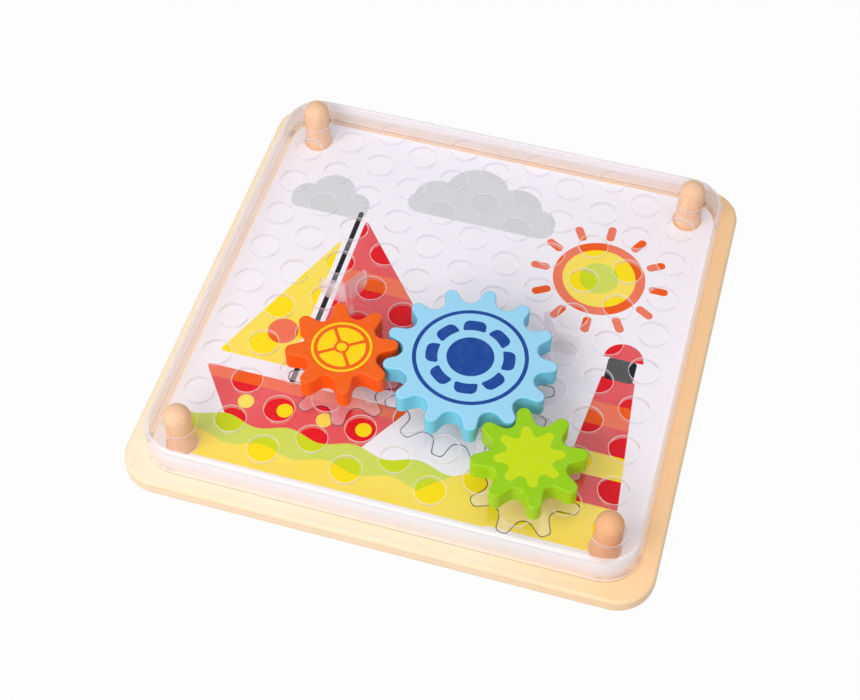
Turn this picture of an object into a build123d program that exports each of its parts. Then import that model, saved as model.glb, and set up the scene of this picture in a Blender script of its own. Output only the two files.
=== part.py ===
from build123d import *
import math
import os

# Wooden gear board: a plywood base with four corner pegs, a picture card, a clear cover with
# a grid of round holes, and three toothed wooden gears that stand in those holes and mesh.
#
# Millimetres. X runs along the front edge, Y to the back, Z up. The origin is the centre of
# the board's underside.

# ---- Grid of gear holes in the cover ---------------------------------------------------------
HOLE_PITCH = 21.0            # from one hole to each of its six neighbours
HOLE_FIELD = 189.0           # side of the square that the hole centres fill
GEAR_HOLE_RADIUS = 6.65
HOLE_WEB = 2.0               # least plastic between a peg hole and a gear hole

# ---- Clear cover -----------------------------------------------------------------------------
COVER_MARGIN = 14.0          # from the outermost hole centres to the cover's outer foot
COVER_HEIGHT = 15.0
COVER_WALL = 2.0
PLATE_THICKNESS = 2.0
COVER_CORNER = 17.0          # corner radius at the foot
WALL_DRAFT = 3.0             # degrees that the walls lean inwards
COVER_EDGE = 2.2             # rounding of the top outer edge
RIB_COLUMN = 2               # the ribs stand inwards of this column, counted from each side
RIB_THICKNESS = 2.0
RIB_GAP = 0.5                # from the support ribs down to the card
RIB_CORNER = 6.0             # rounding of each rib arm's lower outer corner

# ---- Base board, pegs and card ---------------------------------------------------------------
BOARD_LEDGE = 7.5            # board that shows round the cover
BOARD_THICKNESS = 8.0
BOARD_CORNER = 17.0
BOARD_EDGE = 1.8             # rounding of the board's edges
PEG_RADIUS = 6.0
PEG_INSET = 15.7             # from the cover's outer foot to a peg's centre
PEG_SEAT = 6.0               # depth of the blind hole a peg is glued into
PEG_STANDS_OUT = 11.0        # height of a peg's tip above the cover
GLUE_LINE = 0.05             # radial room for glue round a dowel
COVER_PEG_ROOM = 1.35        # radial room between a peg and the cover
CARD_PEG_ROOM = 1.0          # radial room between a peg and the card
CARD_THICKNESS = 0.5
CARD_ROOM = 0.75             # between the card's edge and the cover's wall

# ---- Gears -----------------------------------------------------------------------------------
SMALL_TEETH = 8
LARGE_TEETH = 13
ORANGE_HOLE = (3, 2)         # column from the left, place from the front, both counted from 0
BLUE_HOLE = (6, 3)
GREEN_HOLE = (8, 1)
GEAR_THICKNESS = 10.0
TOOTH_ABOVE = 3.28           # tooth height outside the pitch circle
TOOTH_BELOW = 5.0            # tooth depth inside the pitch circle
TOOTH_TIP_RADIUS = 3.0       # each tooth ends in a round tip
FLANK_ANGLE = 12.0           # degrees between a tooth's side and its centre line
GEAR_EDGE = 0.8              # rounding of the top and bottom edges
BLUE_TURN = 7.8              # degrees from +X to a tooth of the blue gear
PLAY_TAKEN = 0.65            # share of the play between teeth that the small gears have taken up

# ---- Gear pins -------------------------------------------------------------------------------
PIVOT_ROOM = 0.4             # radial room of a pin in a gear hole
PIVOT_SEAT = 6.0             # depth of a pin in its gear
PIVOT_TIP_GAP = 3.5          # from a pin's lower end to the card
PIVOT_CHAMFER = 1.0

# ---- Sizes that follow -----------------------------------------------------------------------
COLUMN_STEP = HOLE_PITCH * math.sqrt(3) / 2
COLUMNS = round(HOLE_FIELD / COLUMN_STEP) + 1
LONG_COLUMN = round(HOLE_FIELD / HOLE_PITCH) + 1
COVER_SIDE = HOLE_FIELD + 2 * COVER_MARGIN
BOARD_SIDE = COVER_SIDE + 2 * BOARD_LEDGE
CARD_SIDE = COVER_SIDE - 2 * (COVER_WALL + CARD_ROOM)
CARD_CORNER = COVER_CORNER - COVER_WALL - CARD_ROOM
CARD_TOP = BOARD_THICKNESS + CARD_THICKNESS
PLATE_TOP = BOARD_THICKNESS + COVER_HEIGHT
PLATE_UNDERSIDE = PLATE_TOP - PLATE_THICKNESS
PEG_PLACE = COVER_SIDE / 2 - PEG_INSET
PEG_HOLE_RADIUS = PEG_RADIUS + COVER_PEG_ROOM
PIVOT_RADIUS = GEAR_HOLE_RADIUS - PIVOT_ROOM


PEG_PLACES = {
    "front_left": (-PEG_PLACE, -PEG_PLACE),
    "front_right": (PEG_PLACE, -PEG_PLACE),
    "back_left": (-PEG_PLACE, PEG_PLACE),
    "back_right": (PEG_PLACE, PEG_PLACE),
}


def hole_place(column, place):
    """Centre of a gear hole. Every second column has one hole fewer and is shifted by half a pitch."""
    x = (column - (COLUMNS - 1) / 2) * COLUMN_STEP
    y = (place + column % 2 / 2 - (LONG_COLUMN - 1) / 2) * HOLE_PITCH
    return x, y


def gear_holes():
    """Centres of all gear holes in the cover: the whole grid but for what the peg holes take."""
    room = PEG_HOLE_RADIUS + GEAR_HOLE_RADIUS + HOLE_WEB
    grid = [
        hole_place(column, place)
        for column in range(COLUMNS)
        for place in range(LONG_COLUMN - column % 2)
    ]
    return [hole for hole in grid if all(math.dist(hole, peg) > room for peg in PEG_PLACES.values())]


def rounded_slab(side, corner, bottom, height, lean=0.0):
    """Square slab with round corners; its sides lean inwards by lean degrees."""
    outline = Pos(0, 0, bottom) * RectangleRounded(side, side, corner)
    return extrude(outline, amount=height, taper=lean)


def rods(places, radius, bottom, height):
    """Upright round rods, used to cut holes."""
    rod = Pos(0, 0, bottom) * extrude(Circle(radius), amount=height)
    return [Pos(x, y, 0) * rod for x, y in places]


# ---- Board, pegs and card --------------------------------------------------------------------
def base_board():
    """Plywood board with rounded edges and four blind holes for the pegs."""
    board = rounded_slab(BOARD_SIDE, BOARD_CORNER, 0, BOARD_THICKNESS)
    level = board.faces().sort_by(Axis.Z)
    board = fillet(level[0].edges() + level[-1].edges(), BOARD_EDGE)
    floor = BOARD_THICKNESS - PEG_SEAT
    seats = rods(PEG_PLACES.values(), PEG_RADIUS + GLUE_LINE, floor, BOARD_THICKNESS)
    return board - seats


def corner_peg(x, y):
    """Dowel that stands in the board and ends in a half-round dome above the cover."""
    foot = BOARD_THICKNESS - PEG_SEAT
    shoulder = PLATE_TOP + PEG_STANDS_OUT - PEG_RADIUS
    shaft = Pos(0, 0, foot) * extrude(Circle(PEG_RADIUS), amount=shoulder - foot)
    ball = Pos(0, 0, shoulder) * Sphere(PEG_RADIUS)
    return Pos(x, y, 0) * (shaft + ball)


def picture_card():
    """Card on the board, with a hole for each peg."""
    card = rounded_slab(CARD_SIDE, CARD_CORNER, BOARD_THICKNESS, CARD_THICKNESS)
    radius = PEG_RADIUS + CARD_PEG_ROOM
    return card - rods(PEG_PLACES.values(), radius, 0, PLATE_TOP)


# ---- Clear cover -----------------------------------------------------------------------------
def rib_arm():
    """One arm of a support rib, running from its centre along +X under the plate.

    It reaches the centre of the next triangle of holes, and its lower outer corner is round.
    """
    reach = HOLE_PITCH / math.sqrt(3)
    bottom = CARD_TOP + RIB_GAP
    height = PLATE_UNDERSIDE - bottom
    corner = min(RIB_CORNER, 0.9 * height)
    side = Plane.XZ * Pos(reach / 2, bottom + height / 2) * Rectangle(reach, height)
    low_corner = side.vertices().group_by(Axis.Z)[0].sort_by(Axis.X)[-1]
    side = fillet(low_corner, corner)
    return extrude(side, amount=RIB_THICKNESS / 2, both=True)


def support_rib(column, inner_column):
    """Three-armed rib amid three neighbouring holes near the cover's middle line.

    Two of the holes are in one column and the third in the next column towards the middle.
    Each arm runs away from one of the holes, through the gap between the other two.
    """
    place = LONG_COLUMN // 2 - 1
    holes = [
        hole_place(column, place),
        hole_place(column, place + 1),
        hole_place(inner_column, place + column % 2),
    ]
    x = sum(hole[0] for hole in holes) / 3
    y = sum(hole[1] for hole in holes) / 3
    turns = [180 + math.degrees(math.atan2(hole[1] - y, hole[0] - x)) for hole in holes]
    arms = [Rot(0, 0, turn) * rib_arm() for turn in turns]
    return Pos(x, y, 0) * (arms[0] + arms[1] + arms[2])


def clear_cover():
    """Clear tray standing upside down on the board, with its grid of holes and its ribs."""
    outer = rounded_slab(COVER_SIDE, COVER_CORNER, BOARD_THICKNESS, COVER_HEIGHT, WALL_DRAFT)
    top = outer.faces().sort_by(Axis.Z)[-1]
    outer = fillet(top.edges(), COVER_EDGE)
    inner = rounded_slab(
        COVER_SIDE - 2 * COVER_WALL,
        COVER_CORNER - COVER_WALL,
        BOARD_THICKNESS,
        COVER_HEIGHT - PLATE_THICKNESS,
        WALL_DRAFT,
    )
    cover = outer - inner
    cover = cover + support_rib(RIB_COLUMN, RIB_COLUMN + 1)
    cover = cover + support_rib(COLUMNS - 1 - RIB_COLUMN, COLUMNS - 2 - RIB_COLUMN)
    holes = rods(gear_holes(), GEAR_HOLE_RADIUS, BOARD_THICKNESS, 2 * COVER_HEIGHT)
    holes += rods(PEG_PLACES.values(), PEG_HOLE_RADIUS, BOARD_THICKNESS, 2 * COVER_HEIGHT)
    return cover - holes


# ---- Gears -----------------------------------------------------------------------------------
def pitch_radius(teeth):
    """Radius at which two meshing gears roll on each other, from their holes' distance."""
    distance = math.dist(hole_place(*BLUE_HOLE), hole_place(*ORANGE_HOLE))
    return distance * teeth / (SMALL_TEETH + LARGE_TEETH)


def turned(radius, angle):
    """Point at a radius and an angle in radians."""
    return radius * math.cos(angle), radius * math.sin(angle)


def gear_outline(teeth):
    """Closed outline of round tips, straight flanks and round valleys, all tangent.

    A tooth's tip is an arc about a point on its centre line. Its flanks leave that arc at
    FLANK_ANGLE. Each valley is the arc on the line between two teeth that touches both flanks
    and the root circle: for a flank at distance d from the gear's centre, the arc's centre
    lies at (root - d) / (1 - sin(flank angle + half a tooth's share of the circle)).
    """
    outer = pitch_radius(teeth) + TOOTH_ABOVE
    root = pitch_radius(teeth) - TOOTH_BELOW
    lean = math.radians(FLANK_ANGLE)
    half = math.pi / teeth
    tip_centre = outer - TOOTH_TIP_RADIUS
    flank_distance = TOOTH_TIP_RADIUS + tip_centre * math.sin(lean)
    valley_centre = (root - flank_distance) / (1 - math.sin(lean + half))
    valley_radius = valley_centre - root

    # One tooth about +X: its tip's two ends, then the valley on its left up to the next flank.
    tip_x = tip_centre + TOOTH_TIP_RADIUS * math.sin(lean)
    tip_y = TOOTH_TIP_RADIUS * math.cos(lean)
    valley_x, valley_y = turned(valley_centre, half)
    flank_end_x = valley_x - valley_radius * math.sin(lean)
    flank_end_y = valley_y - valley_radius * math.cos(lean)
    flank_end = math.hypot(flank_end_x, flank_end_y)
    flank_end_angle = math.atan2(flank_end_y, flank_end_x)
    tip_end = math.hypot(tip_x, tip_y)
    tip_end_angle = math.atan2(tip_y, tip_x)

    edges = []
    for tooth in range(teeth):
        at = 2 * half * tooth
        start = turned(tip_end, at - tip_end_angle)
        end = turned(tip_end, at + tip_end_angle)
        down = turned(flank_end, at + flank_end_angle)
        up = turned(flank_end, at + 2 * half - flank_end_angle)
        edges.append(ThreePointArc(start, turned(outer, at), end))
        edges.append(Line(end, down))
        edges.append(ThreePointArc(down, turned(root, at + half), up))
        edges.append(Line(up, turned(tip_end, at + 2 * half - tip_end_angle)))
    return make_face(edges)


def gear(teeth, hole, turn):
    """Toothed wooden disc on the cover's plate, with a blind hole for its pin."""
    x, y = hole_place(*hole)
    disc = extrude(Rot(0, 0, turn) * gear_outline(teeth), amount=GEAR_THICKNESS)
    level = disc.faces().sort_by(Axis.Z)
    disc = fillet(level[0].edges() + level[-1].edges(), GEAR_EDGE)
    seat = extrude(Circle(PIVOT_RADIUS + GLUE_LINE), amount=PIVOT_SEAT)
    return Pos(x, y, PLATE_TOP) * (disc - seat)


def pivot(hole):
    """Dowel pin under a gear, through its hole in the cover, with a chamfered lower end."""
    x, y = hole_place(*hole)
    bottom = CARD_TOP + PIVOT_TIP_GAP
    pin = extrude(Circle(PIVOT_RADIUS), amount=PLATE_TOP + PIVOT_SEAT - bottom)
    pin = chamfer(pin.faces().sort_by(Axis.Z)[0].edges(), PIVOT_CHAMFER)
    return Pos(x, y, bottom) * pin


def tooth_width(teeth):
    """Width of a tooth where it crosses the pitch circle."""
    lean = math.radians(FLANK_ANGLE)
    tip_centre = pitch_radius(teeth) + TOOTH_ABOVE - TOOTH_TIP_RADIUS
    below_tip = tip_centre + TOOTH_TIP_RADIUS * math.sin(lean) - pitch_radius(teeth)
    return 2 * (TOOTH_TIP_RADIUS * math.cos(lean) + below_tip * math.tan(lean))


def small_gear_turn(hole):
    """Degrees from +X to a tooth of a small gear that meshes with the blue gear.

    The blue tooth nearest the line of centres falls in the middle of a gap, and the small gear
    is then turned on by its share of the play, as gears lie when one has driven the other.
    """
    blue_x, blue_y = hole_place(*BLUE_HOLE)
    x, y = hole_place(*hole)
    line = math.degrees(math.atan2(y - blue_y, x - blue_x))
    tooth_step = 360 / LARGE_TEETH
    offset = (BLUE_TURN - line) % tooth_step
    in_mesh = line + 180 - offset * LARGE_TEETH / SMALL_TEETH + 180 / SMALL_TEETH
    arc = 2 * math.pi * pitch_radius(SMALL_TEETH) / SMALL_TEETH
    play = arc - tooth_width(SMALL_TEETH) - tooth_width(LARGE_TEETH)
    return in_mesh + math.degrees(PLAY_TAKEN * play / 2 / pitch_radius(SMALL_TEETH))


# ---- Write every piece -----------------------------------------------------------------------
def pieces():
    """Every piece by name."""
    found = {"base_board": base_board()}
    for corner, (x, y) in PEG_PLACES.items():
        found[f"corner_peg_{corner}"] = corner_peg(x, y)
    found["picture_card"] = picture_card()
    found["clear_cover"] = clear_cover()
    found["orange_gear"] = gear(SMALL_TEETH, ORANGE_HOLE, small_gear_turn(ORANGE_HOLE))
    found["blue_gear"] = gear(LARGE_TEETH, BLUE_HOLE, BLUE_TURN)
    found["green_gear"] = gear(SMALL_TEETH, GREEN_HOLE, small_gear_turn(GREEN_HOLE))
    found["orange_pivot"] = pivot(ORANGE_HOLE)
    found["blue_pivot"] = pivot(BLUE_HOLE)
    found["green_pivot"] = pivot(GREEN_HOLE)
    return found


os.makedirs("parts", exist_ok=True)
for node, shape in pieces().items():
    export_step(shape, f"parts/{node}.step")
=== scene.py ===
"""Looks of the wooden gear board: plywood, beech dowels, printed card, clear cover, painted gears.

Metres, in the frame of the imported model: X along the front edge, Y to the back, Z up, with the
origin at the centre of the board's underside. Patterns are worked out in millimetres.
"""

import math

import bpy
from mathutils import Matrix, Vector


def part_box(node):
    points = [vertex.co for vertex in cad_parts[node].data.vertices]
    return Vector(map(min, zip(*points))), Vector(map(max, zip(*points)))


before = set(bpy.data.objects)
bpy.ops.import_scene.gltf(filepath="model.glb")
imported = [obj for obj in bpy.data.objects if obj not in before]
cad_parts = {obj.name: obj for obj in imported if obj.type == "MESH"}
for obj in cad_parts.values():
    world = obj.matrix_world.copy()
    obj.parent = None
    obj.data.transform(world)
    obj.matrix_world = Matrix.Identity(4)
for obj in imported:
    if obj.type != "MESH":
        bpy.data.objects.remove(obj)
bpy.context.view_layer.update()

MM = 0.001
SMALL_TEETH = 8
LARGE_TEETH = 13


# ---- Colours ---------------------------------------------------------------------------------
def colour(red, green, blue):
    """A colour given as 0 to 255 on a screen, as the linear values that shaders use."""

    def linear(value):
        value = value / 255
        return value / 12.92 if value <= 0.04045 else ((value + 0.055) / 1.055) ** 2.4

    return (linear(red), linear(green), linear(blue), 1.0)


PURE_WHITE = (1.0, 1.0, 1.0, 1.0)
CARD_WHITE = colour(248, 245, 251)
PRINT_RED = colour(230, 8, 30)
PRINT_ORANGE = colour(242, 92, 18)
PRINT_YELLOW = colour(255, 228, 8)
PRINT_LIME = colour(205, 222, 22)
PRINT_GREY = colour(214, 216, 218)
PRINT_BLACK = colour(14, 12, 18)


# ---- Shader maths ----------------------------------------------------------------------------
class Value:
    """A number that changes over a surface. Python operators on it add Math nodes."""

    def __init__(self, paint, socket):
        self.paint = paint
        self.socket = socket

    def math(self, operation, *others, clamp=False):
        return self.paint.math(operation, self, *others, clamp=clamp)

    def __add__(self, other):
        return self.math("ADD", other)

    def __radd__(self, other):
        return self.paint.math("ADD", other, self)

    def __sub__(self, other):
        return self.math("SUBTRACT", other)

    def __rsub__(self, other):
        return self.paint.math("SUBTRACT", other, self)

    def __mul__(self, other):
        return self.math("MULTIPLY", other)

    def __rmul__(self, other):
        return self.paint.math("MULTIPLY", other, self)

    def __truediv__(self, other):
        return self.math("DIVIDE", other)

    def __rtruediv__(self, other):
        return self.paint.math("DIVIDE", other, self)

    def __neg__(self):
        return self.math("MULTIPLY", -1.0)

    def __abs__(self):
        return self.math("ABSOLUTE")

    def least(self, other):
        return self.math("MINIMUM", other)

    def most(self, other):
        return self.math("MAXIMUM", other)

    def held(self):
        """Clamped to 0..1."""
        return self.math("ADD", 0.0, clamp=True)


class Nodes:
    """The node tree of a material or of the surroundings, with its output node."""

    def __init__(self, owner, output):
        owner.use_nodes = True
        self.tree = owner.node_tree
        self.tree.nodes.clear()
        self.out = self.node(output)

    def node(self, kind, settings=None, inputs=None):
        """Any node: its settings first, then the values or links of its sockets."""
        made = self.tree.nodes.new(kind)
        for name, value in (settings or {}).items():
            setattr(made, name, value)
        for name, value in (inputs or {}).items():
            socket = made.inputs[name]
            if isinstance(value, Value):
                value = value.socket
            if isinstance(value, bpy.types.NodeSocket):
                self.tree.links.new(value, socket)
            else:
                socket.default_value = value
        return made

    def math(self, operation, *values, clamp=False):
        settings = {"operation": operation, "use_clamp": clamp}
        made = self.node("ShaderNodeMath", settings, dict(enumerate(values)))
        return Value(self, made.outputs[0])

    def straight_view(self):
        """1 for rays that show the background: from the camera, reflected or through glass."""
        path = self.node("ShaderNodeLightPath").outputs
        names = ("Is Camera Ray", "Is Glossy Ray", "Is Transmission Ray")
        camera, glossy, through = (Value(self, path[name]) for name in names)
        return camera.most(glossy).most(through)

    def finish(self, shader):
        self.tree.links.new(shader, self.out.inputs["Surface"])


class Paint(Nodes):
    """A material under construction, with its coordinates in millimetres."""

    def __init__(self, name):
        self.material = bpy.data.materials.new(name)
        super().__init__(self.material, "ShaderNodeOutputMaterial")
        place = self.node("ShaderNodeTexCoord").outputs["Object"]
        inputs = {0: place, "Scale": 1 / MM}
        self.mm = self.node("ShaderNodeVectorMath", {"operation": "SCALE"}, inputs).outputs[0]
        parts = self.node("ShaderNodeSeparateXYZ", {}, {0: self.mm}).outputs
        self.x, self.y, self.z = (Value(self, part) for part in parts)

    def facing_up(self):
        """1 where the surface lies flat, facing up or down, and 0 where it stands upright."""
        normal = self.node("ShaderNodeTexCoord").outputs["Normal"]
        return abs(Value(self, self.node("ShaderNodeSeparateXYZ", {}, {0: normal}).outputs[2]))

    def blend(self, amount, first, second):
        """The first colour where amount is 0, the second where it is 1."""
        inputs = {0: amount, 6: first, 7: second}
        return self.node("ShaderNodeMix", {"data_type": "RGBA"}, inputs).outputs[2]

    def noise(self, scale, detail, rough, stretch=(1, 1, 1), shift=(0, 0, 0)):
        """Cloudy noise from 0 to 1. scale is in blobs per millimetre, before the stretch."""
        inputs = {"Vector": self.mm, "Scale": stretch, "Location": shift}
        place = self.node("ShaderNodeMapping", {}, inputs).outputs[0]
        inputs = {"Vector": place, "Scale": scale, "Detail": detail, "Roughness": rough}
        return Value(self, self.node("ShaderNodeTexNoise", {}, inputs).outputs["Fac"])

    def span(self, value, low, high, to_low=0.0, to_high=1.0):
        """value carried from low..high to to_low..to_high, smoothly and held at both ends."""
        settings = {"interpolation_type": "SMOOTHSTEP"}
        inputs = dict(enumerate((value, low, high, to_low, to_high)))
        made = self.node("ShaderNodeMapRange", settings, inputs)
        return Value(self, made.outputs[0])

    def bump(self, height, depth):
        """A normal from a height between 0 and 1, depth millimetres deep."""
        inputs = {"Height": height, "Strength": 1.0, "Distance": depth * MM}
        return self.node("ShaderNodeBump", {}, inputs).outputs[0]

    def surface(self, **inputs):
        """A Principled shader; sockets are named with underscores for spaces."""
        named = {name.replace("_", " "): value for name, value in inputs.items()}
        return self.node("ShaderNodeBsdfPrincipled", {}, named).outputs[0]

    def pane(self, red, green, blue):
        """A surface that lets light straight through and tints it."""
        inputs = {"Color": (red, green, blue, 1.0)}
        return self.node("ShaderNodeBsdfTransparent", {}, inputs).outputs[0]

    def mix_shaders(self, amount, first, second):
        """The first shader where amount is 0, the second where it is 1."""
        return self.node("ShaderNodeMixShader", {}, {0: amount, 1: first, 2: second}).outputs[0]

    def finish(self, shader):
        super().finish(shader)
        return self.material


# ---- Flat shapes, as distances in millimetres, below 0 inside --------------------------------
PRINT_BLUR = 0.12   # over which a printed edge fades


def inside(distance):
    """1 inside a shape and 0 outside, with an edge as sharp as print."""
    return (0.5 - distance / PRINT_BLUR).held()


def length(x, y):
    """Distance from the origin."""
    return (x * x + y * y).math("SQRT")


def disc(x, y, centre, radius):
    """Round shape."""
    return length(x - centre[0], y - centre[1]) - radius


def round_meet(first, second, corner):
    """Where two shapes overlap, with a round corner of that radius."""
    across, along = first + corner, second + corner
    return length(across.most(0.0), along.most(0.0)) + across.most(along).least(0.0) - corner


def slab(x, y, centre, size, corner):
    """Rectangle with round corners."""
    return round_meet(abs(x - centre[0]) - size[0] / 2, abs(y - centre[1]) - size[1] / 2, corner)


def half_plane(x, y, point, direction):
    """The side of a line on the left of its direction, which is given in degrees."""
    c, s = math.cos(math.radians(direction)), math.sin(math.radians(direction))
    return (x - point[0]) * s - (y - point[1]) * c


def polygon(x, y, corners, rounding):
    """Convex polygon, its corners in left-turning order, with round corners inside it."""
    distance = None
    for start, end in zip(corners, corners[1:] + corners[:1]):
        direction = math.degrees(math.atan2(end[1] - start[1], end[0] - start[0]))
        side = half_plane(x, y, start, direction)
        distance = side if distance is None else smooth_most(distance, side, rounding)
    return distance


def smooth_least(first, second, width):
    """Both shapes together, with the corner between them filled in over width."""
    return first.math("SMOOTH_MIN", second, width)


def smooth_most(first, second, width):
    """Where two shapes overlap, with the corner between them worn off over width."""
    return first.math("SMOOTH_MAX", second, width)


def folded(x, y, centre, count, turn):
    """Radius, and the angle in radians from the nearest of count spokes.

    The first spoke points turn degrees to the left of +X.
    """
    x, y = x - centre[0], y - centre[1]
    radius = length(x, y)
    step = 2 * math.pi / count
    angle = y.math("ARCTAN2", x) - math.radians(turn) + step / 2
    angle = angle.math("FLOORED_MODULO", step) - step / 2
    return radius, angle


def ring(radius, inner, outer):
    """Band between two radii."""
    return abs(radius - (inner + outer) / 2) - (outer - inner) / 2


# ---- Shape of the gears ----------------------------------------------------------------------
def middle_of(node):
    """Place of a piece's centre on the board, in millimetres."""
    low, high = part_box(node)
    return ((low.x + high.x) / 2 / MM, (low.y + high.y) / 2 / MM)


PIN_PLACE = {name: middle_of(f"{name}_pivot") for name in ("orange", "blue", "green")}
PEG_PLACE = middle_of("corner_peg_back_right")
TEETH = {"orange": SMALL_TEETH, "blue": LARGE_TEETH, "green": SMALL_TEETH}


def first_tooth(name):
    """Angle of a gear's farthest tooth tip about its pin, in degrees, read from its outline."""
    centre = PIN_PLACE[name]
    tips = [
        (math.hypot(v.co.x / MM - centre[0], v.co.y / MM - centre[1]), v.co.x, v.co.y)
        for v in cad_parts[f"{name}_gear"].data.vertices
    ]
    reach = max(tip[0] for tip in tips)
    step = 2 * math.pi / TEETH[name]
    angles = [
        math.atan2(y / MM - centre[1], x / MM - centre[0]) % step
        for r, x, y in tips
        if r > reach - 0.01
    ]
    c = sum(math.cos(angle / step * 2 * math.pi) for angle in angles)
    s = sum(math.sin(angle / step * 2 * math.pi) for angle in angles)
    return math.degrees(math.atan2(s, c) / (2 * math.pi) * step)


TOOTH_TURN = {name: first_tooth(name) for name in TEETH}


def gear_silhouette(x, y, centre, teeth, tip, root, turn):
    """Toothed disc: straight flanks that run into the tip and root circles in smooth bends."""
    flank_lean = math.radians(12.0)
    tip_radius = 3.0
    tip_bend, root_bend = 2.5, 4.0
    flank_distance = tip_radius + (tip - tip_radius) * math.sin(flank_lean)
    radius, angle = folded(x, y, centre, teeth, turn)
    along = radius * angle.math("COSINE")
    across = abs(radius * angle.math("SINE"))
    flank = along * math.sin(flank_lean) + across * math.cos(flank_lean) - flank_distance
    tooth = smooth_most(flank, radius - tip, tip_bend)
    return smooth_least(tooth, radius - root, root_bend)


# ---- Wood ------------------------------------------------------------------------------------
def plywood():
    """Birch plywood: straight grain in every second ply, end grain in the darker ones between."""
    paint = Paint("birch_plywood")
    cream = colour(252, 231, 207)
    tan = colour(248, 216, 174)
    # Tan of the painted shade on the right and back of the top.
    warm = colour(255, 211, 160)
    line = colour(222, 182, 136)
    plies = 5
    low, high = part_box("base_board")
    top = high.z / MM
    ply = (high.z - low.z) / MM / plies
    middle = (high.z + low.z) / MM / 2

    grain = paint.noise(0.9, 4.0, 0.6, stretch=(0.03, 1.0, 1.0))
    broad = paint.noise(0.05, 2.0, 0.5, stretch=(0.35, 1.0, 1.0), shift=(40, 0, 0))
    face = paint.blend(paint.span(grain, 0.42, 0.75, 0.0, 0.45), cream, tan)
    face = paint.blend(paint.span(broad, 0.35, 0.7, 0.0, 0.35), face, tan)

    pores = paint.noise(2.0, 3.0, 0.6, stretch=(0.14, 0.14, 1.0))
    cross = paint.blend(paint.span(pores, 0.35, 0.7, 0.75, 1.0), cream, tan)
    # Counted in plies from the underside, and kept a hair inside both faces of the board.
    level = (paint.z - middle) * 0.999 / ply + plies / 2
    layer = level.math("FLOOR").math("FLOORED_MODULO", 2.0)
    wood = paint.blend(layer, face, cross)
    # Painted shade: the top turns a warmer tan towards the right and the back, where the ledge
    # lies in the cover's shade; the sides of the board take less of it.
    shade_to_right = paint.span(paint.x + broad * 50.0, 45.0, 135.0)
    shade_to_back = paint.span(paint.y + paint.x * 0.3 + broad * 40.0, 75.0, 150.0, 0.0, 0.6)
    on_top = paint.span(paint.z, top - 1.0, top - 0.2, 0.45, 0.95)
    wood = paint.blend(shade_to_right.most(shade_to_back) * on_top, wood, warm)
    to_line = abs((level + 0.5).math("FRACT") - 0.5) * ply
    wander = paint.noise(0.12, 2.0, 0.5)
    glue = paint.span(to_line + (wander - 0.5) * 0.12, 0.05, 0.22, 1.0, 0.0)
    edge_only = paint.span(abs(paint.z - middle), ply * 2.3, ply * 2.45, 1.0, 0.0)
    wood = paint.blend(glue * edge_only * 0.4, wood, line)
    facing = paint.facing_up()
    # Painted shade: the rounded edges, which the lamps light most, are toned down towards tan.
    rounded_edge_shade = paint.span(facing, 0.05, 0.3) * paint.span(facing, 0.9, 0.99, 1.0, 0.0)
    wood = paint.blend(rounded_edge_shade * 0.6, wood, tan)

    height = grain * 0.8 + pores * 0.1
    shader = paint.surface(
        Base_Color=wood,
        Roughness=paint.span(grain, 0.3, 0.8, 0.42, 0.58),
        Specular_IOR_Level=0.3,
        Normal=paint.bump(height, 0.02),
    )
    return paint.finish(shader)


def beech():
    """Beech dowel: long grain along the pin, short darker flecks, rings across a turned end."""
    paint = Paint("beech")
    pale = colour(246, 204, 168)
    warm = colour(235, 183, 141)
    dark = colour(205, 146, 102)
    grain = paint.noise(1.6, 4.0, 0.6, stretch=(1.0, 1.0, 0.06))
    rings = paint.noise(0.9, 2.0, 0.4, stretch=(1.0, 0.25, 0.05), shift=(3, 9, 0))
    wood = paint.blend(paint.span(grain, 0.35, 0.7, 0.0, 0.7), pale, warm)
    wood = paint.blend(paint.span(rings, 0.5, 0.72, 0.0, 0.45), wood, warm)
    # The peg at the front right is ruddier than the others.
    ruddy = paint.span(paint.x - paint.y, 100.0, 190.0, 0.0, 0.85)
    wood = paint.blend(ruddy, wood, colour(236, 171, 120))
    flecks = paint.noise(2.6, 1.0, 0.4, stretch=(1.0, 1.0, 0.22), shift=(0, 0, 31))
    wood = paint.blend(paint.span(flecks, 0.66, 0.74, 0.0, 0.35), wood, dark)
    shader = paint.surface(
        Base_Color=wood,
        Roughness=paint.span(grain, 0.3, 0.8, 0.45, 0.62),
        Specular_IOR_Level=0.3,
        Normal=paint.bump(grain, 0.03),
    )
    return paint.finish(shader)


# ---- Printed card ----------------------------------------------------------------------------
def sun(paint, picture, x, y):
    """Disc with a ring round it and twelve short rays."""
    radius, angle = folded(x, y, (60.0, 46.0), 12, 0)
    along, across = radius * angle.math("COSINE"), radius * angle.math("SINE")
    ray = slab(along, across, (28.0, 0), (9.0, 4.0), 1.9)
    picture = paint.blend(inside(ray), picture, PRINT_ORANGE)
    for edge, paint_colour in ((21.5, PRINT_ORANGE), (17.0, PRINT_YELLOW), (9.0, PRINT_LIME)):
        picture = paint.blend(inside(radius - edge), picture, paint_colour)
    return picture


def clouds(paint, picture, x, y):
    """Two flat-bottomed grey clouds made of round puffs."""
    puffs = [
        ((-26.0, 73.0), 11.0), ((-8.0, 81.0), 15.5), ((13.0, 77.0), 12.0), ((25.0, 71.0), 8.0),
        ((-86.0, 57.0), 8.0), ((-75.0, 63.0), 10.5), ((-63.0, 57.0), 7.5),
    ]
    floors = [((-3.0, 68.0), (72.0, 13.0)), ((-74.5, 53.5), (38.0, 9.0))]
    shape = None
    for centre, radius in puffs:
        puff = disc(x, y, centre, radius)
        shape = puff if shape is None else shape.least(puff)
    for centre, size in floors:
        shape = shape.least(slab(x, y, centre, size, min(size) / 2 - 0.01))
    return paint.blend(inside(shape), picture, PRINT_GREY)


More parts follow.
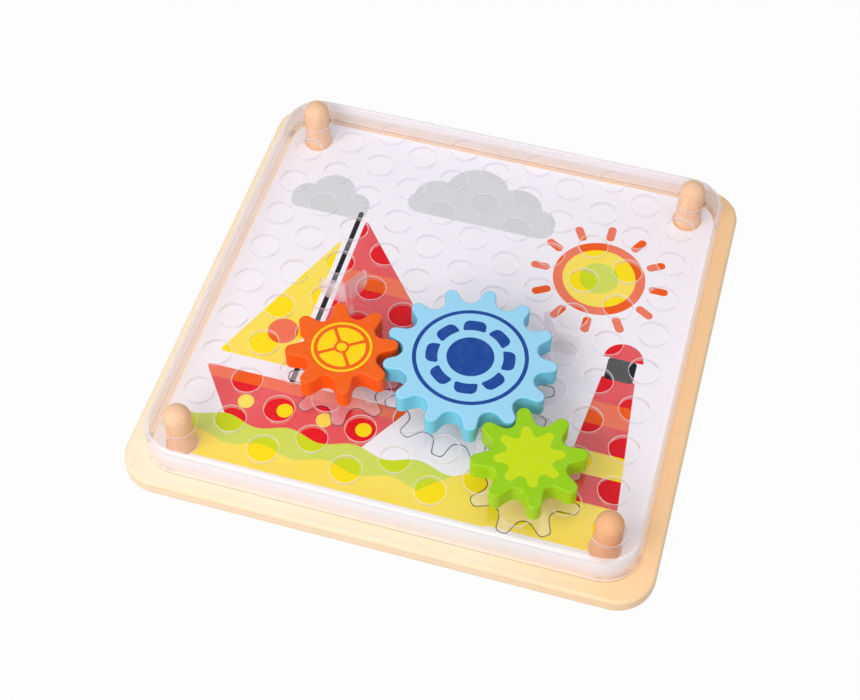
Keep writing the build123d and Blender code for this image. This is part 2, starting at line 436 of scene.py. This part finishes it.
def boat(paint, picture, x, y):
    """Sailing boat: round-cornered hull, mast, a large and a small sail."""
    mast = slab(x, y, (-58.0, 2.0), (2.4, 104.0), 1.1)
    picture = paint.blend(inside(mast), picture, PRINT_BLACK)
    main = polygon(x, y, [(-54.5, -42.0), (22.0, -42.0), (-54.5, 50.0)], 3.0)
    main = main.most(disc(x, y, (-72.0, -52.0), 102.0))
    picture = paint.blend(inside(main), picture, PRINT_RED)
    band = slab(x, y, (-20.0, 14.0), (90.0, 10.0), 0.1)
    picture = paint.blend(inside(main.most(band)), picture, PRINT_ORANGE)
    jib = polygon(x, y, [(-61.5, -42.0), (-61.5, 36.0), (-95.0, -42.0)], 3.0)
    picture = paint.blend(inside(jib), picture, PRINT_YELLOW)
    spot = disc(x, y, (-71.0, -24.0), 7.0)
    picture = paint.blend(inside(spot), picture, PRINT_ORANGE)
    keel, deck, rail_height = -80.0, -50.0, 6.0
    hull = polygon(x, y, [(-76.0, keel), (-22.0, keel), (-4.0, deck), (-98.0, deck)], 3.5)
    picture = paint.blend(inside(hull), picture, PRINT_RED)
    rail = hull.most(deck - rail_height - y)
    picture = paint.blend(inside(rail), picture, PRINT_ORANGE)
    for porthole in (-74.0, -56.0, -38.0, -20.0):
        picture = paint.blend(inside(disc(x, y, (porthole, -65.0), 3.6)), picture, PRINT_YELLOW)
    return picture


def lighthouse(paint, picture, x, y):
    """Striped tower with a black lantern on a round island."""
    island = disc(x, y, (60.0, -132.0), 66.0).most(-96.0 - y).most(x - 97.0)
    picture = paint.blend(inside(island), picture, PRINT_YELLOW)
    tower = polygon(x, y, [(67.0, -74.0), (94.0, -74.0), (88.0, -8.0), (73.0, -8.0)], 0.8)
    picture = paint.blend(inside(tower), picture, PRINT_RED)
    half_band = 6.0
    for middle, band_colour in ((-28.0, PRINT_ORANGE), (-54.0, PRINT_YELLOW)):
        band = tower.most(abs(y - middle) - half_band)
        picture = paint.blend(inside(band), picture, band_colour)
    lantern = slab(x, y, (80.5, -3.0), (13.0, 12.0), 1.5)
    picture = paint.blend(inside(lantern), picture, PRINT_BLACK)
    roof = disc(x, y, (80.5, 3.0), 9.0).most(3.0 - y)
    return paint.blend(inside(roof), picture, PRINT_RED)


def sea(paint, picture, x, y):
    """Two wavy bands, clipped to the picture's margin."""
    frame_edge = slab(x, y, (-27.0, -60.0), (146.0, 74.0), 6.0)
    wave_stretch, wave_height = 4.6, 1.8
    for top, shift, paint_colour in ((-75.0, 0.0, PRINT_LIME), (-86.0, 2.0, PRINT_YELLOW)):
        wave = y - top - (x / wave_stretch + shift).math("SINE") * wave_height
        picture = paint.blend(inside(wave.most(frame_edge)), picture, paint_colour)
    return picture


def gear_guides(paint, picture, x, y):
    """Pale silhouettes with a thin dark outline, which show where the gears go."""
    guides = [
        ("orange", 24.4, 16.2, 11.0),
        ("blue", 37.6, 29.4, 14.0),
        ("green", 24.4, 16.2, 33.0),
    ]
    half_line = 0.22
    for name, tip, root, turn in guides:
        shape = gear_silhouette(x, y, PIN_PLACE[name], TEETH[name], tip, root, turn)
        picture = paint.blend(inside(shape) * 0.3, picture, CARD_WHITE)
        picture = paint.blend(inside(abs(shape) - half_line) * 0.9, picture, PRINT_BLACK)
    return picture


def printed_card():
    """White card with a seaside picture, on its upper face only."""
    paint = Paint("printed_card")
    x, y = paint.x, paint.y
    picture = CARD_WHITE
    picture = sun(paint, picture, x, y)
    picture = clouds(paint, picture, x, y)
    picture = boat(paint, picture, x, y)
    picture = sea(paint, picture, x, y)
    picture = lighthouse(paint, picture, x, y)
    picture = gear_guides(paint, picture, x, y)
    low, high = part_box("picture_card")
    face = paint.span(paint.z, low.z / MM + 0.3, high.z / MM - 0.1)
    fibres = paint.noise(1.8, 4.0, 0.6)
    pulp = colour(236, 232, 226)
    card = paint.blend(face, pulp, picture)
    card = paint.blend(paint.span(fibres, 0.45, 0.8, 0.0, 0.06), card, pulp)
    shader = paint.surface(
        Base_Color=card,
        Roughness=paint.span(fibres, 0.3, 0.8, 0.5, 0.62),
        Specular_IOR_Level=0.2,
        Normal=paint.bump(fibres, 0.01),
    )
    return paint.finish(shader)


# ---- Painted gears ---------------------------------------------------------------------------
def gear_paint(name, top, side, ornament):
    """Satin paint over wood: a paler printed top, stronger paint on the sides."""
    paint = Paint(f"{name}_paint")
    top_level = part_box(f"{name}_gear")[1].z / MM
    on_top = paint.span(paint.z, top_level - 0.35, top_level - 0.05)
    cloudy = paint.noise(0.25, 3.0, 0.5)
    skin = paint.blend(on_top, side, top)
    skin = ornament(paint, skin, on_top)
    worn = colour(255, 250, 240)
    skin = paint.blend(paint.span(cloudy, 0.35, 0.8, 0.0, 0.02), skin, worn)
    grain = paint.noise(0.8, 3.0, 0.6, stretch=(0.1, 1.0, 1.0))
    shader = paint.surface(
        Base_Color=skin,
        Roughness=paint.span(cloudy, 0.3, 0.8, 0.38, 0.5),
        Specular_IOR_Level=0.22,
        Normal=paint.bump(grain, 0.012),
    )
    return paint.finish(shader)


def spoked_wheel(paint, skin, on_top):
    """Yellow ring round four sectors with a round hub between their points."""
    yellow = colour(255, 212, 0)
    sectors = 4
    spoke_past_tooth = 13.6
    first_sector = TOOTH_TURN["orange"] + spoke_past_tooth + 180 / sectors
    radius, angle = folded(paint.x, paint.y, PIN_PLACE["orange"], sectors, first_sector)
    half_spoke = 0.75
    to_spoke = radius * (math.pi / sectors - abs(angle)).math("SINE") - half_spoke
    sector = smooth_most(ring(radius, 3.3, 10.4), -to_spoke, 1.0)
    shape = sector.least(radius - 2.2).least(ring(radius, 12.1, 13.2))
    return paint.blend(inside(shape) * on_top, skin, yellow)


def ring_of_blocks(paint, skin, on_top):
    """Dark blue ring, eight round-cornered blocks and a centre disc."""
    navy = colour(4, 66, 150)
    first_block = 7.8
    half_width, inner, outer = 4.95, 14.2, 19.4
    outer_corner, inner_corner = 2.3, 1.3
    radius, angle = folded(paint.x, paint.y, PIN_PLACE["blue"], 8, first_block)
    side = abs(radius * angle.math("SINE")) - half_width
    block = round_meet(side, radius - outer, outer_corner)
    block = round_meet(block, inner - radius, inner_corner)
    shape = block.least(radius - 10.3).least(ring(radius, 23.3, 25.1))
    return paint.blend(inside(shape) * on_top, skin, navy)


def lobed_star(paint, skin, on_top):
    """Lime star with eight round lobes that point at the teeth."""
    lime = colour(197, 219, 0)
    radius, angle = folded(paint.x, paint.y, PIN_PLACE["green"], 8, TOOTH_TURN["green"])
    along = radius * angle.math("COSINE")
    across = abs(radius * angle.math("SINE"))
    lean = math.radians(10.0)
    reach, tip_radius, body, valley_bend = 14.8, 2.1, 9.7, 3.0
    tip_centre = reach - tip_radius
    past_centre = along - tip_centre
    flank = past_centre * math.sin(lean) + across * math.cos(lean) - tip_radius
    lobe = flank.most(past_centre - tip_radius * math.sin(lean))
    lobe = lobe.least(length(past_centre, across) - tip_radius)
    shape = smooth_least(lobe, radius - body, valley_bend)
    return paint.blend(inside(shape) * on_top, skin, lime)


# ---- Clear cover -----------------------------------------------------------------------------
HOLE_PITCH = 21.0        # the holes' grid is triangular
HOLE_RADIUS = 6.65
PEG_HOLE_RADIUS = 7.35
COVER_CORNER = 17.0
PLATE_THICKNESS = 2.0
COLUMN_STEP = HOLE_PITCH * math.sqrt(3) / 2


def from_nearest(value, first, step):
    """Signed distance to the nearest of the places first + n * step."""
    return (value - (first - step / 2)).math("FLOORED_MODULO", step) - step / 2


def from_hole_edges(x, y):
    """Distance from the edge of the nearest hole, gear holes and peg holes alike.

    The grid is two rectangular ones, of every second column each: the long columns have ten
    holes and the short ones nine. Each grid is cut off where its holes end, and the long one
    also where the pegs take the corner holes.
    """
    far = 100.0
    # How far from the middle the holes go, across and along, and where the corners begin.
    long_end, long_corner, short_end = (98.0, 102.0), (80.0, 84.5), (81.0, 94.0)

    def grid(first_x, first_y):
        across = from_nearest(x, first_x, 2 * COLUMN_STEP)
        along = from_nearest(y, first_y, HOLE_PITCH)
        return abs(length(across, along) - HOLE_RADIUS)

    def past(limits):
        return abs(x).math("GREATER_THAN", limits[0]), abs(y).math("GREATER_THAN", limits[1])

    past_x, past_y = past(long_end)
    corner_x, corner_y = past(long_corner)
    off_long = past_x.most(past_y).most(corner_x.least(corner_y))
    long_columns = grid(COLUMN_STEP, HOLE_PITCH / 2) + off_long * far
    past_x, past_y = past(short_end)
    short_columns = grid(0.0, 0.0) + past_x.most(past_y) * far
    pegs = abs(length(abs(x) - PEG_PLACE[0], abs(y) - PEG_PLACE[1]) - PEG_HOLE_RADIUS)
    return long_columns.least(short_columns).least(pegs)


def clear_plastic():
    """Clear moulded plastic: gloss over what shows through, milky walls, painted highlights and
    shade.

    The sides of the holes, the ribs and the walls all stand upright. Their place tells them
    apart: the ribs lie under the plate, and the walls beyond the outermost holes.
    """
    paint = Paint("clear_plastic")
    low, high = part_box("clear_cover")
    foot_level, top = low.z / MM, high.z / MM
    plate_underside = top - PLATE_THICKNESS
    hole_reach = 101.9   # from the middle to just past the outermost holes

    upright = paint.span(paint.facing_up(), 0.3, 0.9, 1.0, 0.0)
    within = abs(paint.x).most(abs(paint.y)).math("LESS_THAN", hole_reach)
    holes = within * paint.span(paint.z, plate_underside - 0.1, plate_underside + 0.1)
    ribs = within - holes
    # Painted highlights: milky bands at the top and bottom of the holes' sides, and thin rings
    # round the holes on the top face.
    upper_rim_highlight = paint.span(paint.z, top - 0.35, top - 0.1)
    lower_rim_highlight = paint.span(paint.z, plate_underside, plate_underside + 0.25, 1.0, 0.0) * holes
    on_top = paint.span(paint.z, top - 0.2, top - 0.05)
    rim_highlights = paint.span(from_hole_edges(paint.x, paint.y), 0.12, 0.34, 1.0, 0.0) * on_top

    # The walls lean in by less than 1 mm from the outline of their foot. The top edge is round.
    size = (high.x - low.x) / MM
    outline = slab(paint.x, paint.y, (0.0, 0.0), (size, size), COVER_CORNER)
    outer = outline.math("GREATER_THAN", -1.0) * upright
    # Painted: the foot of the wall takes the colour of the wood that shows in it, and its lowest
    # strip is a brown painted contact shadow.
    foot = outer * paint.span(paint.z, foot_level + 2.0, foot_level + 2.7, 1.0, 0.0)
    contact_shadow = outer * paint.span(paint.z, foot_level + 0.3, foot_level + 0.6, 1.0, 0.0)
    brim = outer * paint.span(paint.z, top - 9.0, top - 2.5, 0.0, 0.3)
    # Painted light and shade: over the round top edge a lilac-grey milky band stands in for the
    # light that the wall carries up, its grey for the shade of the edge facing away.
    bend = paint.span(outline, -3.0, -2.3) * paint.span(paint.z, top - 2.4, top - 2.0)

    # How milky each place is, from 0 for clear to 1 for opaque, with painted light and shade in
    # it.
    cloudy = paint.noise(0.05, 3.0, 0.5)
    milk = upright * (upper_rim_highlight * 0.45 + lower_rim_highlight * 0.25 + ribs * 0.32 + 0.14)
    milk = (milk + outer * 0.32 + foot * 0.44 + brim) * (1.0 - bend) + bend * 0.55
    milk = milk + (1.0 - upright) * rim_highlights * 0.6 + paint.span(cloudy, 0.3, 0.8, 0.0, 0.03)

    grazing = Value(paint, paint.node("ShaderNodeLayerWeight", {}, {0: 0.5}).outputs["Facing"])
    gloss = (grazing.math("POWER", 5.0) * 0.96 + 0.04).least(1.0 - bend * 0.75)
    inputs = {"Color": PURE_WHITE, "Roughness": 0.06}
    mirror = paint.node("ShaderNodeBsdfGlossy", {}, inputs).outputs[0]
    frosted, painted_wood_tint = colour(246, 243, 250), colour(246, 232, 224)
    top_edge_shade_grey, contact_shadow_brown = colour(236, 234, 238), colour(178, 146, 130)
    # Painted colours: the wood showing in the foot, the shade over the top edge, and a contact
    # shadow at the bottom.
    tint = paint.blend(foot, frosted, painted_wood_tint)
    tint = paint.blend(bend, tint, top_edge_shade_grey)
    tint = paint.blend(contact_shadow, tint, contact_shadow_brown)
    milky = paint.surface(Base_Color=tint, Roughness=0.3, Specular_IOR_Level=0.5)
    plate_pane, wall_pane = paint.pane(0.99, 0.985, 0.992), paint.pane(0.975, 0.96, 0.955)
    clear = paint.mix_shaders(upright, plate_pane, wall_pane)
    # Painted shade: the sides of the holes dim what shows through them, for the grey lines that
    # refraction draws round the holes.
    clear = paint.mix_shaders(upright * holes, clear, paint.pane(0.88, 0.87, 0.9))
    body = paint.mix_shaders(milk.held(), clear, milky)
    seen = paint.mix_shaders(gloss, body, mirror)

    # To a lamp the cover is a plain tinted pane, darker in the walls, so its shadow stays faint.
    thin_shade, wall_shade = paint.pane(0.985, 0.982, 0.988), paint.pane(0.88, 0.82, 0.75)
    shade = paint.mix_shaders(upright * (1.0 - within), thin_shade, wall_shade)
    lamp = Value(paint, paint.node("ShaderNodeLightPath").outputs["Is Shadow Ray"])
    return paint.finish(paint.mix_shaders(lamp, seen, shade))


# ---- Put the materials on --------------------------------------------------------------------
def dress(node, material):
    """Give a piece its one material."""
    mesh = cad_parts[node].data
    mesh.materials.clear()
    mesh.materials.append(material)


dress("base_board", plywood())
dress("picture_card", printed_card())
dress("clear_cover", clear_plastic())
dowel = beech()
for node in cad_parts:
    if node.startswith("corner_peg") or node.endswith("_pivot"):
        dress(node, dowel)

# Colour of the top, colour of the sides, and what is printed on the top.
GEAR_FINISHES = {
    "orange": (colour(243, 97, 6), colour(252, 88, 4), spoked_wheel),
    "blue": (colour(155, 214, 243), colour(112, 200, 230), ring_of_blocks),
    "green": (colour(149, 203, 6), colour(163, 208, 4), lobed_star),
}
for name, (top, side, ornament) in GEAR_FINISHES.items():
    dress(f"{name}_gear", gear_paint(name, top, side, ornament))


# ---- Floor, light and camera -----------------------------------------------------------------
SKY_LIGHT = 0.5          # strength of the surroundings as a lamp; as a background it is 1
FLOOR_RETURN = 0.6       # share of the light that the floor sends back to the board
FLOOR_OWN_WHITE = 0.96   # share of the seen floor that is plain white; the rest takes shadows


def pale_floor():
    """White floor that keeps a faint shadow."""
    mesh = bpy.data.meshes.new("floor")
    reach = 6.0
    corners = [(-reach, -reach, 0), (reach, -reach, 0), (reach, reach, 0), (-reach, reach, 0)]
    mesh.from_pydata(corners, [], [(0, 1, 2, 3)])
    floor = bpy.data.objects.new("floor", mesh)
    bpy.context.scene.collection.objects.link(floor)
    a_hair_under_the_board = -0.0002
    floor.location.z = a_hair_under_the_board
    paint = Paint("floor")
    grey = (FLOOR_RETURN, FLOOR_RETURN, FLOOR_RETURN, 1.0)
    lit = paint.node("ShaderNodeBsdfDiffuse", {}, {"Color": grey}).outputs[0]
    bright = paint.node("ShaderNodeEmission", {}, {"Color": PURE_WHITE}).outputs[0]
    mixed = paint.mix_shaders(paint.straight_view() * FLOOR_OWN_WHITE, lit, bright)
    mesh.materials.append(paint.finish(mixed))


def sky():
    """Even white surroundings, dimmer as a lamp than as a background."""
    world = bpy.data.worlds.new("studio")
    bpy.context.scene.world = world
    around = Nodes(world, "ShaderNodeOutputWorld")
    strength = around.straight_view() * (1.0 - SKY_LIGHT) + SKY_LIGHT
    inputs = {"Color": PURE_WHITE, "Strength": strength}
    around.finish(around.node("ShaderNodeBackground", {}, inputs).outputs[0])


def softbox(name, place, size, power):
    """Square lamp that faces the middle of the board."""
    lamp = bpy.data.lights.new(name, "AREA")
    lamp.shape = "SQUARE"
    lamp.size = size
    lamp.energy = power
    holder = bpy.data.objects.new(name, lamp)
    bpy.context.scene.collection.objects.link(holder)
    holder.location = place
    holder.rotation_mode = "QUATERNION"
    middle_of_board = Vector((0, 0, 0.02))
    holder.rotation_quaternion = (middle_of_board - Vector(place)).to_track_quat("-Z", "Y")


def camera():
    """The photograph's camera: its place and its right and up directions, from the hole grid."""
    place = (0.105371, -0.413937, 0.573945)
    data = bpy.data.cameras.new("camera")
    data.lens = 65.23
    data.sensor_width = 36.0
    holder = bpy.data.objects.new("camera", data)
    bpy.context.scene.collection.objects.link(holder)
    right = Vector((0.96146, 0.27485, 0.00733))
    up = Vector((-0.22612, 0.77526, 0.58978))
    back = right.cross(up)
    turn = Matrix((right, up, back)).transposed()
    holder.matrix_world = Matrix.Translation(place) @ turn.to_4x4()
    bpy.context.scene.camera = holder


pale_floor()
sky()
softbox("key", (-0.62, -0.72, 0.95), 0.5, 5.2)
softbox("top", (0.25, -0.1, 1.3), 0.6, 2.0)
softbox("front", (-0.2, -1.1, 0.7), 0.5, 5.2)
camera()
bpy.context.scene.view_settings.view_transform = "Standard"
